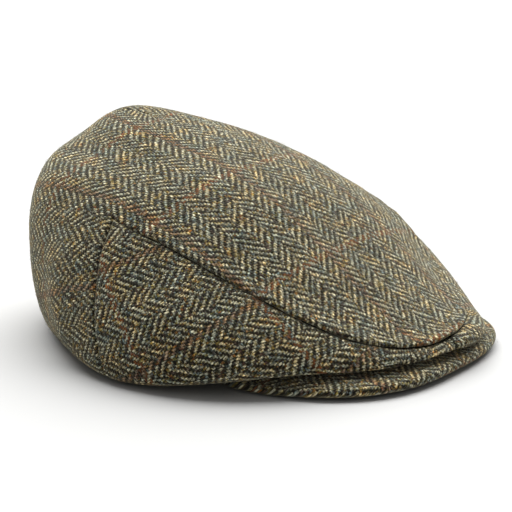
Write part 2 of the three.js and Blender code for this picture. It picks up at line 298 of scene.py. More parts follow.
def distance_to(spots, line):
    """The distance from each place to a line of many short steps, and how far along it the nearest point is."""
    tree = KDTree(len(line))
    for number, point in enumerate(line):
        tree.insert(point, number)
    tree.balance()
    flat = spots.reshape(-1, 3)
    nearest = np.array([tree.find(p)[1] for p in flat.tolist()])
    along = np.concatenate([[0], np.cumsum(np.linalg.norm(np.diff(line, axis=0), axis=1))])
    best, where = np.full(len(flat), np.inf), np.zeros(len(flat))
    for step in (-1, 0):
        first = np.clip(nearest + step, 0, len(line) - 2)
        a, b = line[first], line[first + 1]
        share = np.clip(((flat - a) * (b - a)).sum(1) / ((b - a) ** 2).sum(1), 0, 1)
        gap = np.linalg.norm(flat - a - (b - a) * share[:, None], axis=1)
        where = np.where(gap < best, along[first] + share * np.linalg.norm(b - a, axis=1), where)
        best = np.minimum(best, gap)
    return best.reshape(spots.shape[:-1]), where.reshape(spots.shape[:-1])


def rough(spots, size, seed):
    """Smooth noise from -1 to 1 over places, whose bumps are about as wide as size."""
    flat = spots.reshape(-1, 3) / size + seed
    return np.array([noise.noise(p) for p in flat.tolist()]).reshape(spots.shape[:-1])


def edged(total, edge_steps, count, both=True):
    """Shares from 0 to 1 for a length, close together at the end, or at both ends, and even elsewhere."""
    ends = np.array(edge_steps) / total
    first = ends if both else ends[:1]
    middle = np.linspace(first[-1], 1 - ends[-1], count)
    return np.concatenate([first[:-1], middle, 1 - ends[:-1][::-1]])


# Steps in from a turned-in edge, the soft unevenness of handled cloth (bump width and height), and seam puckers
EDGE_STEPS = (0, 0.0003, 0.0008, 0.0014, 0.0021, 0.0031, 0.0045)
UNEVEN = ((0.045, 0.0009), (0.019, 0.0004))
PUCKER_WIDTH = 0.0095
PUCKER_HEIGHT = 0.0008
PUCKER_FADE = 0.009
# How the edges lie at a seam: the width of the step between them, how deep each is turned in, how the step runs out
# at the corner, how much the top stands out and the sides lie in, and how far below the widest line all this ends
SEAM_FADE = 0.006
SEAM_DEPTH = 0.0011
REAR_SEAM_DEPTH = 0.0022
STEP_RUNOUT = 0.028
TOP_LIFT = 0.0012
SIDE_LIFT = -0.0008
REST_FADE = 0.35
# The dart that shapes the back of the top panel, down its middle
DART_RISE = 0.66
DART_WIDTH = 0.0008
DART_DEPTH = 0.0007
BACK = 180
# Lengths and counts that space the columns and rows of the cloth
AHEAD_LENGTH = 0.24
BACK_LENGTH = 0.15
SIDE_LENGTH = 0.25
AHEAD_COLUMNS = 84
BACK_COLUMNS = 44
SIDE_COLUMNS = 92
TOP_ROWS = 46
UNDER_ROWS = 22
WALL_ROWS = 26
JOIN = 1e-6
# The stripes of the side panels rise to the front, in degrees
SIDE_GRAIN_AROUND = 92
SIDE_GRAIN_SLOPE = 44
SIDE_GRAIN_STEP = 0.045
# Degrees round and rise of a place where the check lines of a side panel cross, and for the top panel of two places
# that the warp runs along, one on a warp line of the check and one on a weft line
SIDE_CHECK = (51.5, 0.385)
TOP_GRAIN = ((0, 0.3), (0, 0.95), (82, 0.53), (29, 0.565))


class Edge:
    """A seam line, how much the cloth puckers along it, how much one edge stands over the other, which fades out at the
    line's last point, how deep the cloth is turned in, and the depth of a groove."""

    def __init__(self, line, pucker=1.0, step=1.0, turn=SEAM_DEPTH, groove=0.0):
        self.line, self.pucker, self.step, self.turn, self.groove = line, pucker, step, turn, groove


def sewn(crown, side):
    """The long seam and the rear seam of one side."""
    long_seam, rear = crown.seam_lines(side)
    return Edge(long_seam), Edge(rear, step=0, turn=REAR_SEAM_DEPTH)


def dressed(crown, around, rise, edges, lift, seed):
    """The outer and inner places of a panel's points: the crown with soft unevenness, puckers that run off its seams,
    and edges that are turned in."""
    s = crown.s
    spots, out = crown.at(around, rise), crown.normal(around, rise)
    free = np.clip(1 + rise / REST_FADE, 0, 1)
    height = sum(tall * rough(spots, wide, seed + 7 * k) for k, (wide, tall) in enumerate(UNEVEN))
    depth = np.zeros_like(height)
    for number, edge in enumerate(edges):
        gap, along = distance_to(spots, edge.line)
        run = np.stack([along / PUCKER_WIDTH, gap / (4 * PUCKER_WIDTH), np.full_like(gap, seed + 3.7 * number)], -1)
        height = height + edge.pucker * PUCKER_HEIGHT * rough(run, 1, 0.5) * np.exp(-gap / PUCKER_FADE)
        height = height - edge.groove * np.exp(-((gap / DART_WIDTH) ** 2))
        if edge.turn:
            to_end = np.linalg.norm(spots - edge.line[-1], axis=-1)
            step = lift * edge.step * (1 - np.exp(-((to_end / STEP_RUNOUT) ** 2)))
            height = height + step * np.exp(-((gap / SEAM_FADE) ** 2))
            near = np.clip(s.seam_round - gap, 0, s.seam_round)
            depth = np.maximum(depth, edge.turn * (1 - np.sqrt(1 - (near / s.seam_round) ** 2)))
    height = height * free
    shift = np.array([0, crown.shift, 0])
    outer = spots + out * (height - depth)[..., None] + shift
    inner = spots + out * (height - s.cloth)[..., None] + shift
    return outer, inner


def new_sheet():
    bm = bmesh.new()
    bm.verts.layers.float_vector.new("inner")
    bm.verts.layers.float.new("dart")
    return bm


def add_grid(bm, outer, inner, dart):
    """A grid whose points are put at outer, and which remember their place on the inner face."""
    columns, rows = outer.shape[0] - 1, outer.shape[1] - 1
    kept, cut = bm.verts.layers.float_vector["inner"], bm.verts.layers.float["dart"]
    for v in bmesh.ops.create_grid(bm, x_segments=columns, y_segments=rows, size=1)["verts"]:
        i = round((v.co.x + 1) / 2 * columns)
        k = round((v.co.y + 1) / 2 * rows)
        v.co = outer[i, k]
        v[kept] = inner[i, k]
        v[cut] = dart[i, k]


def new_piece(name, bm):
    for face in bm.faces:
        face.smooth = True
    mesh = bpy.data.meshes.new(name)
    bm.to_mesh(mesh)
    bm.free()
    piece = bpy.data.objects.new(name, mesh)
    bpy.context.scene.collection.objects.link(piece)
    return piece


def finish_sheet(bm, name):
    """Joins the grids of a sheet, turns its faces outwards and makes it a piece, with its dart marked as a cut."""
    bmesh.ops.remove_doubles(bm, verts=bm.verts[:], dist=JOIN)
    bmesh.ops.recalc_face_normals(bm, faces=bm.faces[:])
    widest = max(bm.faces, key=lambda face: abs(face.calc_center_median().x))
    if widest.normal.x * widest.calc_center_median().x < 0:
        bmesh.ops.reverse_faces(bm, faces=bm.faces[:])
    cut = bm.verts.layers.float["dart"]
    for edge in bm.edges:
        edge.seam = all(v[cut] > 0.5 for v in edge.verts)
    return new_piece(name, bm)


def flatten(piece, first, second, warp_line, weft_line):
    """Gives a panel the UV map of its flat cloth, in metres, with V running from the place first to second, and with
    a warp line and a weft line of the check through the places warp_line and weft_line."""
    mesh = piece.data
    mesh.uv_layers.new(name="cloth")
    bpy.ops.object.select_all(action="DESELECT")
    piece.select_set(True)
    bpy.context.view_layer.objects.active = piece
    bpy.ops.object.mode_set(mode="EDIT")
    bpy.ops.mesh.select_all(action="SELECT")
    bpy.ops.uv.unwrap(method="MINIMUM_STRETCH", margin=0)
    bpy.ops.object.mode_set(mode="OBJECT")
    loops, uvs = np.empty(len(mesh.loops), np.int32), np.empty(2 * len(mesh.loops), np.float32)
    mesh.loops.foreach_get("vertex_index", loops)
    mesh.uv_layers["cloth"].data.foreach_get("uv", uvs)
    flat = uvs[0::2] + 1j * uvs[1::2]
    places = np.array([v.co for v in mesh.vertices])
    after = np.arange(len(loops)) + 1
    for polygon in mesh.polygons:
        after[polygon.loop_start + polygon.loop_total - 1] = polygon.loop_start
    real = np.linalg.norm(places[loops] - places[loops[after]], axis=1).sum()
    shown = np.abs(flat - flat[after]).sum()
    found = [np.linalg.norm(places - p, axis=1).argmin() for p in (first, second, warp_line, weft_line)]
    start, end, warp_spot, weft_spot = (flat[loops == number][0] for number in found)
    turn = 1j * abs(end - start) / (end - start) * (real / shown)
    flat = flat * turn - (warp_spot * turn).real - 1j * (weft_spot * turn).imag
    uvs[0::2], uvs[1::2] = flat.real, flat.imag
    mesh.uv_layers["cloth"].data.foreach_set("uv", uvs)


def give_wall(piece):
    """Closes a sheet into a wall of cloth, by drawing a copy of it to the inner places."""
    bm = bmesh.new()
    bm.from_mesh(piece.data)
    kept = bm.verts.layers.float_vector["inner"]
    made = bmesh.ops.extrude_face_region(bm, geom=bm.faces[:], use_keep_orig=True)["geom"]
    for v in made:
        if isinstance(v, bmesh.types.BMVert):
            v.co = v[kept]
    if bm.calc_volume(signed=True) < 0:
        bmesh.ops.reverse_faces(bm, faces=bm.faces[:])
    if not all(edge.is_contiguous for edge in bm.edges):
        raise RuntimeError(piece.name + " isn't closed")
    bm.to_mesh(piece.data)
    bm.free()


def finish_piece(piece, node, material):
    piece.data.materials.append(material)
    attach(piece, "root")
    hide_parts(node)


class FLATCAP_OT_top_panel(bpy.types.Operator):
    """Make the top panel, which runs down the back to the hem"""

    bl_idname = "flatcap.top_panel"
    bl_label = "Make Top Panel"

    def execute(self, context):
        s = context.scene.cap_sizes
        crown = Crown(s)
        ahead = CORNER_AROUND * edged(AHEAD_LENGTH, EDGE_STEPS, AHEAD_COLUMNS, both=False)
        share = edged(BACK_LENGTH, EDGE_STEPS, BACK_COLUMNS)
        half = np.concatenate([ahead, CORNER_AROUND + (BACK - CORNER_AROUND) * share[1:]])
        around = np.concatenate([-half[:0:-1], half])
        edges = [edge for side in (1, -1) for edge in sewn(crown, side)]
        back_line = crown.at(BACK, np.linspace(-1, DART_RISE, LINE_POINTS))
        edges.append(Edge(back_line, pucker=0.4, turn=0, groove=DART_DEPTH))

        # The dome: from the long seams, or the level of their corners, up to the middle of the top
        is_ahead = np.abs(around) <= CORNER_AROUND
        base = np.where(is_ahead, crown.seam(around), crown.seam(CORNER_AROUND))
        base = base + np.where(is_ahead, crown.rise_of(s.seam_gap / 2, around, base), 0)
        rows = [base + crown.rise_of(step, around, base) for step in EDGE_STEPS]
        start = rows[-1]
        rows += [start + (1 - start) * part for part in np.linspace(0, 1, TOP_ROWS)[1:]]
        rise = np.stack(rows, 1)
        turned = np.broadcast_to(around[:, None], rise.shape)
        outer, inner = dressed(crown, turned, rise, edges, TOP_LIFT, 11.3)
        outer[:, -1], inner[:, -1] = outer[:, -1].mean(0), inner[:, -1].mean(0)
        outer[-1], inner[-1] = outer[0], inner[0]
        bm = new_sheet()
        add_grid(bm, outer, inner, (np.abs(turned) == BACK) & (rise <= DART_RISE))

        # The back below the corners, on the wearer's right and then on the left
        level = np.concatenate([np.linspace(-1, 0, UNDER_ROWS), np.linspace(0, 1, WALL_ROWS)[1:]])
        low = rise_at(level, crown.seam(CORNER_AROUND))
        seam = rear_seam(level)
        seam = seam + crown.degrees_of(s.seam_gap / 2, seam, low)
        turned = seam[None, :] + (BACK - seam[None, :]) * share[:, None]
        low = np.broadcast_to(low[None, :], turned.shape)
        corner = len(around) - len(share)
        joints = {1: slice(corner, None), -1: slice(len(share) - 1, None, -1)}
        middle = None
        for side, joint in joints.items():
            skirt, lining = dressed(crown, side * turned, low, edges, TOP_LIFT, 11.3)
            if middle is not None:
                skirt[-1], lining[-1] = middle
            skirt[:, -1], lining[:, -1] = outer[joint, 0], inner[joint, 0]
            middle = skirt[-1].copy(), lining[-1].copy()
            add_grid(bm, skirt, lining, turned == BACK)
        piece = finish_sheet(bm, "crown_top")
        shift = np.array([0, crown.shift, 0])
        flatten(piece, *(crown.at(around, rise) + shift for around, rise in TOP_GRAIN))
        give_wall(piece)
        finish_piece(piece, "top_panel", tweed("Wool herringbone tweed, top"))
        return {"FINISHED"}


class FLATCAP_OT_side_panels(bpy.types.Operator):
    """Make the side panels, which meet as a narrow strip over the peak"""

    bl_idname = "flatcap.side_panels"
    bl_label = "Make Side Panels"

    def execute(self, context):
        s = context.scene.cap_sizes
        crown = Crown(s)
        material = tweed("Wool herringbone tweed, sides")
        share = edged(SIDE_LENGTH, EDGE_STEPS, SIDE_COLUMNS)
        top = crown.seam(share * CORNER_AROUND)
        path = crown.at((share * CORNER_AROUND)[:, None], top[:, None] * np.linspace(0, 1, WALL_ROWS)[None, :])
        span = np.linalg.norm(np.diff(path, axis=1), axis=2).sum(1)
        steps = np.array(EDGE_STEPS)[::-1]
        under = np.broadcast_to(np.linspace(-1, 0, UNDER_ROWS), (len(share), UNDER_ROWS))
        wall = np.linspace(0, 1, WALL_ROWS)[1:][None, :] * (1 - steps[0] / span)[:, None]
        close = 1 - steps[None, 1:] / span[:, None]
        level = np.concatenate([under, wall, close], 1)
        rise = rise_at(level, top[:, None])
        seam = rear_seam(level)
        first = crown.degrees_of(s.seam_gap / 2, 0 * seam, rise)
        last = crown.degrees_of(s.seam_gap / 2, seam, rise)
        around = first + share[:, None] * (seam - first - last)
        rise[:, -1] -= crown.rise_of(s.seam_gap / 2, around[:, -1], rise[:, -1])
        front = crown.at(0, np.linspace(crown.seam(0), -1, LINE_POINTS))
        for side, name in ((1, "right"), (-1, "left")):
            edges = [*sewn(crown, side), Edge(front, pucker=0.3)]
            outer, inner = dressed(crown, side * around, rise, edges, SIDE_LIFT, 40.9)
            bm = new_sheet()
            add_grid(bm, outer, inner, np.zeros(rise.shape))
            piece = finish_sheet(bm, "crown_side_" + name)
            start = crown.at(side * SIDE_GRAIN_AROUND, 0.1) + np.array([0, crown.shift, 0])
            slope = math.radians(SIDE_GRAIN_SLOPE)
            ahead = start + SIDE_GRAIN_STEP * np.array([0, -math.cos(slope), math.sin(slope)])
            cross = crown.at(side * SIDE_CHECK[0], SIDE_CHECK[1]) + np.array([0, crown.shift, 0])
            flatten(piece, start, ahead, cross, cross)
            give_wall(piece)
            finish_piece(piece, "side_panel_" + name, material)
        return {"FINISHED"}


# Counts that space the peak's mesh, and the height and width of its soft unevenness
PEAK_STATIONS = 180
PEAK_ROWS = 22
PEAK_ARC_STEPS = 10
PEAK_UNEVEN = 0.0005
PEAK_UNEVEN_WIDTH = 0.03


class FLATCAP_OT_peak(bpy.types.Operator):
    """Make the stiff peak, covered in the same cloth"""

    bl_idname = "flatcap.peak"
    bl_label = "Make Peak"

    def execute(self, context):
        s = context.scene.cap_sizes
        crown = Crown(s)
        around = np.linspace(-PEAK_END_AROUND, PEAK_END_AROUND, PEAK_STATIONS + 1)
        turned = np.radians(around)
        share = PEAK_END_TAPER * np.abs(around) / PEAK_END_AROUND
        thick = (s.peak_thickness + (s.peak_end_thickness - s.peak_thickness) * share * share)[:, None]
        ahead = np.abs(np.cos(turned) / s.peak_reach) ** PEAK_SQUARENESS
        aside = np.abs(np.sin(turned) / (s.peak_width / 2)) ** PEAK_SQUARENESS
        outline = (ahead + aside) ** (-1 / PEAK_SQUARENESS)
        root = (crown.opening(around) + s.peak_setback)[:, None]
        edge = root + (outline[:, None] - root) * np.sqrt(1 - share**PEAK_END_SHARPNESS)[:, None] - thick / 2
        root_top = (crown.hem(around) - s.seam_gap)[:, None]
        edge_rise = s.peak_side_rise + (s.peak_front_rise - s.peak_side_rise) * np.cos(turned)[:, None] ** 2
        edge_top = np.minimum(edge_rise + thick, root_top)
        out = np.linspace(0, 1, PEAK_ROWS + 1)
        reach = root + (edge - root) * out
        top = root_top + (edge_top - root_top) * out**2
        bend = np.linspace(0, math.pi, 2 * PEAK_ARC_STEPS + 1)[1:-1]
        arc_reach = edge + thick / 2 * np.sin(bend)
        arc_z = edge_top - thick / 2 * (1 - np.cos(bend))
        ring_reach = np.concatenate([reach, arc_reach, reach[:, ::-1], reach[:, :1]], 1)
        ring_z = np.concatenate([top, arc_z, (top - thick)[:, ::-1], top[:, :1]], 1)
        ring_out = np.concatenate([out, np.ones(len(bend)), out[::-1], out[:1]])
        spots = crown.place(around[:, None], ring_reach, ring_z)
        spots[..., 2] += PEAK_UNEVEN * ring_out * rough(spots * (1, 1, 0), PEAK_UNEVEN_WIDTH, 5.1)

        # The cloth runs over the peak from its root, round its edge and back below
        first, last = PEAK_ROWS, PEAK_ROWS + 2 * PEAK_ARC_STEPS
        along = -spots[..., 1]
        steps = np.linalg.norm(np.diff(spots[:, first : last + 1], axis=1), axis=2)
        walked = np.concatenate([0 * thick, np.cumsum(steps, 1)], 1)
        along[:, first : last + 1] = along[:, first : first + 1] + walked
        along[:, last:] = 2 * along[:, first : first + 1] + walked[:, -1:] + spots[:, last:, 1]
        across = spots[..., 0].copy()
        spots[..., 1] += crown.shift
        bm = new_sheet()
        add_grid(bm, spots, np.stack([across, along, 0 * along], -1), 0 * along)
        cloth_map = bm.loops.layers.uv.new("cloth")
        kept = bm.verts.layers.float_vector["inner"]
        for face in bm.faces:
            for loop in face.loops:
                loop[cloth_map].uv = loop.vert[kept].xy
        bmesh.ops.remove_doubles(bm, verts=bm.verts[:], dist=JOIN)
        bmesh.ops.holes_fill(bm, edges=[e for e in bm.edges if e.is_boundary], sides=0)
        bmesh.ops.triangulate(bm, faces=[face for face in bm.faces if len(face.verts) > 4])
        bmesh.ops.recalc_face_normals(bm, faces=bm.faces[:])
        piece = new_piece("stiff_peak", bm)
        finish_piece(piece, "peak", tweed("Wool herringbone tweed, peak"))
        return {"FINISHED"}


# Loose fibres: how many, how long each of their steps is, how steeply they leave the cloth, and how much they curl
FIBRE_COUNT = 2600
FIBRE_STEPS = 5
FIBRE_STEP = (0.0004, 0.0011)
FIBRE_RISE = (0.3, 1.2)
FIBRE_CURL = 0.55
FIBRE_SEED = 7
FIBRE_PIECES = ("crown_top", "crown_side_right", "crown_side_left", "stiff_peak")
# How deep their roots lie, how far above the floor they start, and the share of a face's height on the middle axis
# that an outer face looks away from
FIBRE_ROOT = 0.0003
FLOOR_CLEAR = 0.005
OUTSIDE = 0.4


class FLATCAP_OT_fibres(bpy.types.Operator):
    """Scatter loose wool fibres over the cloth"""

    bl_idname = "flatcap.fibres"
    bl_label = "Scatter Loose Fibres"

    def execute(self, context):
        chance = np.random.default_rng(FIBRE_SEED)
        faces = []
        for name in FIBRE_PIECES:
            for polygon in bpy.data.objects[name].data.polygons:
                centre, normal = polygon.center, polygon.normal
                away = normal.dot(centre - Vector((0, 0, OUTSIDE * centre.z))) > 0
                if away and centre.z > FLOOR_CLEAR:
                    faces.append((polygon.area, centre.copy(), normal.copy()))
        area = np.array([face[0] for face in faces])
        curve = bpy.data.curves.new("loose_fibres", "CURVE")
        curve.dimensions = "3D"
        curve.bevel_depth = context.scene.cap_sizes.fibre / 2
        curve.bevel_resolution = 0
        curve.use_fill_caps = True
        for number in chance.choice(len(faces), FIBRE_COUNT, p=area / area.sum()):
            _, centre, normal = faces[number]
            heading = Vector(chance.normal(size=3))
            heading = (heading - heading.dot(normal) * normal).normalized()
            side = normal.cross(heading)
            step, rise = chance.uniform(*FIBRE_STEP), chance.uniform(*FIBRE_RISE)
            curl = chance.uniform(-FIBRE_CURL, FIBRE_CURL)
            spline = curve.splines.new("POLY")
            spline.points.add(FIBRE_STEPS)
            spot = centre - normal * FIBRE_ROOT
            for k in range(FIBRE_STEPS + 1):
                spline.points[k].co = (*spot, 1)
                lean = rise * (1 - 2 * k / FIBRE_STEPS)
                flat = heading * math.cos(curl * k) + side * math.sin(curl * k)
                spot = spot + step * (flat * math.cos(lean) + normal * math.sin(lean))
        piece = bpy.data.objects.new("loose_fibres", curve)
        context.scene.collection.objects.link(piece)
        piece.data.materials.append(loose_wool())
        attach(piece, "root")
        return {"FINISHED"}


def add(tree, kind, links=None, stops=(), **settings):
    """Adds a node with its settings, a value or a link for each named or numbered input, and the stops of a ramp."""
    node = tree.nodes.new(kind)
    for key, value in settings.items():
        setattr(node, key, value)
    for key, value in (links or {}).items():
        if isinstance(value, bpy.types.NodeSocket):
            tree.links.new(value, node.inputs[key])
        else:
            node.inputs[key].default_value = value
    if stops:
        elements = node.color_ramp.elements
        elements.remove(elements[1])
        elements[0].position, elements[0].color = stops[0]
        for place, tone in stops[1:]:
            elements.new(place).color = tone
    return node


# The inputs and the output of a Mix node for vectors and for colours
MIX_VECTOR = (0, 4, 5, 1)
MIX_COLOUR = (0, 6, 7, 2)

# The weave, step by step: a name, a Math operation and its inputs. across and along count yarns. The light warp lies
# over two dark weft yarns and under two, one yarn further on for each yarn, and the lean turns round at each stripe.
WEAVE = (
    ("folded", "PINGPONG", "across", "stripe"),
    ("end", "FLOOR", "folded"),
    ("pick", "FLOOR", "along"),
    ("end_number", "FLOOR", "across"),
    ("stripes", "DIVIDE", "across", "stripe"),
    ("stripe_number", "FLOOR", "stripes"),
    ("odd", "FLOORED_MODULO", "stripe_number", 2),
    ("jump", "MULTIPLY", "odd", 2),
    ("both", "ADD", "end", "pick"),
    ("step", "ADD", "both", "jump"),
    ("phase", "FLOORED_MODULO", "step", 4),
    ("warp_up", "LESS_THAN", "phase", 1.5),
    ("warp_place", "ADD", "end", "along"),
    ("warp_jumped", "ADD", "warp_place", "jump"),
    ("warp_run", "FLOORED_MODULO", "warp_jumped", 4),
    ("weft_place", "ADD", "folded", "pick"),
    ("weft_jumped", "ADD", "weft_place", "jump"),
    ("weft_turned", "ADD", "weft_jumped", 2),
    ("weft_run", "FLOORED_MODULO", "weft_turned", 4),
    ("warp_side", "FRACT", "across"),
    ("weft_side", "FRACT", "along"),
    ("run_gap", "SUBTRACT", "warp_run", "weft_run"),
    ("run", "MULTIPLY_ADD", "run_gap", "warp_up", "weft_run"),
    ("side_gap", "SUBTRACT", "warp_side", "weft_side"),
    ("side", "MULTIPLY_ADD", "side_gap", "warp_up", "weft_side"),
    ("run_turn", "MULTIPLY", "run", math.pi / 2),
    ("run_hump", "SINE", "run_turn"),
    ("side_turn", "MULTIPLY", "side", math.pi),
    ("side_hump", "SINE", "side_turn"),
    ("hump", "MULTIPLY", "run_hump", "side_hump"),
    ("safe", "MAXIMUM", "hump", 0),
    ("height", "SQRT", "safe"),
    # Places along the warp and the weft yarns, counted in flecks of colour, and the yarns of the rust check
    ("warp_fleck", "DIVIDE", "along", "fleck"),
    ("weft_fleck", "DIVIDE", "across", "fleck"),
    ("warp_count", "FLOORED_MODULO", "end_number", "check_across"),
    ("warp_check", "COMPARE", "warp_count", 1, 1.1),
    ("weft_count", "FLOORED_MODULO", "pick", "check_along"),
    ("weft_check", "COMPARE", "weft_count", 1, 1.1),
    ("check_gap", "SUBTRACT", "warp_check", "weft_check"),
    ("check", "MULTIPLY_ADD", "check_gap", "warp_up", "weft_check"),
    ("check_shown", "MULTIPLY", "check", 0.55),
)
# The drift of the yarns: the width of a bend and its reach, in yarns
DRIFT = ((40, 2.0), (12, 1.5), (3.8, 1.0), (1.3, 0.45))
# The length of a fleck of colour in the yarn, in yarn widths
FLECK = 1.7
# Stops of the colour ramps, as places in a noise that crowds about the middle
LIGHT_STOPS = (
    (0.35, "dark_c"),
    (0.41, "light_c"),
    (0.46, "light_a"),
    (0.5, "pale"),
    (0.55, "light_a"),
    (0.6, "light_b"),
    (0.67, "dark_b"),
)
DARK_STOPS = (
    (0.32, "light_c"),
    (0.4, "dark_c"),
    (0.46, "dark_a"),
    (0.55, "dark_a"),
    (0.61, "dark_b"),
    (0.69, "light_b"),
)
# Bright flecks: where each starts to show in its noise, where it shows fully, and how much then
RUST_FLECKS = (0.62, 0.68, 0.7)
MUSTARD_FLECKS = (0.6, 0.67, 0.6)
BLUE_FLECKS = (0.61, 0.68, 0.6)
# Grey and tinted stops that the colour is multiplied by: hair, shade between yarns, and patches
HAIR = ((0.35, (0.24, 0.24, 0.24)), (0.5, (0.93, 0.93, 0.93)), (0.65, (2.5, 2.5, 2.5)))
SHADE = ((0.0, (0.5, 0.48, 0.43)), (0.8, (1.08, 1.08, 1.08)))
PATCH = ((0.34, (0.7, 0.82, 0.92)), (0.45, (0.94, 0.97, 1)), (0.55, (1.04, 1.02, 0.97)), (0.66, (1.36, 1.15, 0.86)))
# The width of a patch, in yarns
PATCH_WIDTH = 8
# The height of the weave's relief in metres, and how much of it the hair takes as a share of a yarn's height
BUMP = 0.0004
HAIR_RELIEF = 0.8
# How many hairs of the wool lie across one yarn, and how many follow each other along it
HAIR_SCALE = (2.0, 0.55)


def tweed(name):
    """Wool herringbone tweed: thick, hairy, marled yarn in a two over two under twill whose lean turns round from
    stripe to stripe. It scatters light softly, has no gloss, and its fibres make a faint halo at grazing angles."""
    c = bpy.context.scene.cap_cloth
    material = bpy.data.materials.new(name)
    material.use_nodes = True
    tree = material.node_tree
    tree.nodes.clear()
    flat = add(tree, "ShaderNodeUVMap", uv_map="cloth").outputs["UV"]
    counted = add(tree, "ShaderNodeVectorMath", {0: flat, "Scale": 1 / c.yarn}, operation="SCALE").outputs[0]
    for width, reach in DRIFT:
        drift = add(tree, "ShaderNodeTexNoise", {"Vector": counted, "Scale": 1 / width, "Detail": 1.0})
        even = {0: drift.outputs["Color"], 1: (0.5, 0.5, 0.5)}
        centred = add(tree, "ShaderNodeVectorMath", even, operation="SUBTRACT").outputs[0]
        moved = add(tree, "ShaderNodeVectorMath", {0: centred, "Scale": reach}, operation="SCALE").outputs[0]
        counted = add(tree, "ShaderNodeVectorMath", {0: counted, 1: moved}, operation="ADD").outputs[0]
    parts = add(tree, "ShaderNodeSeparateXYZ", {0: counted})
    made = {"across": parts.outputs["X"], "along": parts.outputs["Y"], "stripe": float(c.stripe), "fleck": FLECK}
    made.update(check_across=float(c.check_across), check_along=float(c.check_along))
    for key, operation, *inputs in WEAVE:
        values = {k: made.get(value, value) for k, value in enumerate(inputs)}
        made[key] = add(tree, "ShaderNodeMath", values, operation=operation).outputs[0]

    # Marl: flecks of colour that follow each other along a yarn, light in the warp and dark in the weft
    warp_at = add(tree, "ShaderNodeCombineXYZ", {0: made["end_number"], 1: made["warp_fleck"], 2: 0.5}).outputs[0]
    weft_at = add(tree, "ShaderNodeCombineXYZ", {0: made["weft_fleck"], 1: made["pick"], 2: 40.5}).outputs[0]
    _, of_weft, of_warp, chosen = MIX_VECTOR
    factor, a, b, result = MIX_COLOUR
    own = add(tree, "ShaderNodeMix", {factor: made["warp_up"], of_weft: weft_at, of_warp: warp_at}, data_type="VECTOR")
    flecks = {"Vector": own.outputs[chosen], "Scale": 0.87, "Detail": 2.0, "Roughness": 0.65}
    marl = add(tree, "ShaderNodeTexNoise", flecks).outputs
    shown = [[(place, getattr(c, key)) for place, key in stops] for stops in (LIGHT_STOPS, DARK_STOPS)]
    light, dark = (add(tree, "ShaderNodeValToRGB", {0: marl["Fac"]}, stops=stops).outputs["Color"] for stops in shown)
    mixed = {factor: made["warp_up"], a: dark, b: light}
    yarn = add(tree, "ShaderNodeMix", mixed, data_type="RGBA").outputs[result]

    # Bright flecks spun into some of the yarn, and the rust yarns of the check
    split = add(tree, "ShaderNodeSeparateColor", {0: marl["Color"]})
    spun = ((RUST_FLECKS, c.rust), (MUSTARD_FLECKS, c.light_b), (BLUE_FLECKS, c.light_c))
    for channel, ((first, full, most), tone) in enumerate(spun):
        stops = ((first, (0, 0, 0, 1)), (full, (most, most, most, 1)))
        amount = add(tree, "ShaderNodeValToRGB", {0: split.outputs[channel]}, stops=stops).outputs["Color"]
        yarn = add(tree, "ShaderNodeMix", {factor: amount, a: yarn, b: tone}, data_type="RGBA").outputs[result]
    checked = {factor: made["check_shown"], a: yarn, b: c.rust}
    yarn = add(tree, "ShaderNodeMix", checked, data_type="RGBA").outputs[result]

    # Warm and cool patches, the shade between yarns, and the hair of the wool
    patch = add(tree, "ShaderNodeTexNoise", {"Vector": counted, "Scale": 1 / PATCH_WIDTH, "Detail": 2.0}).outputs["Fac"]
    sides = [{0: counted, 1: scale} for scale in ((*HAIR_SCALE, 1), (*HAIR_SCALE[::-1], 1))]
    warp_hair, weft_hair = (add(tree, "ShaderNodeVectorMath", side, operation="MULTIPLY").outputs[0] for side in sides)
    run = {factor: made["warp_up"], of_weft: weft_hair, of_warp: warp_hair}
    run = add(tree, "ShaderNodeMix", run, data_type="VECTOR").outputs[chosen]
    hair = {"Vector": run, "Scale": 1.0, "Detail": 3.0, "Roughness": 0.6}
    hair = add(tree, "ShaderNodeTexNoise", hair).outputs["Fac"]
    for value, stops in ((patch, PATCH), (made["safe"], SHADE), (hair, HAIR)):
        tone = add(tree, "ShaderNodeValToRGB", {0: value}, stops=[(place, (*rgb, 1)) for place, rgb in stops])
        times = {factor: 1.0, a: yarn, b: tone.outputs["Color"]}
        yarn = add(tree, "ShaderNodeMix", times, data_type="RGBA", blend_type="MULTIPLY").outputs[result]
    raised = {0: hair, 1: HAIR_RELIEF, 2: made["height"]}
    relief = add(tree, "ShaderNodeMath", raised, operation="MULTIPLY_ADD").outputs[0]
    bump = add(tree, "ShaderNodeBump", {"Height": relief, "Distance": BUMP, "Strength": 1.0}).outputs[0]
    wool = {"Base Color": yarn, "Roughness": 0.95, "IOR": 1.54, "Specular IOR Level": 0.15, "Normal": bump}
    fuzz = {"Sheen Weight": 0.3, "Sheen Roughness": 0.4, "Sheen Tint": c.fuzz}
    shader = add(tree, "ShaderNodeBsdfPrincipled", {**wool, **fuzz})
    add(tree, "ShaderNodeOutputMaterial", {0: shader.outputs[0]})
    return material


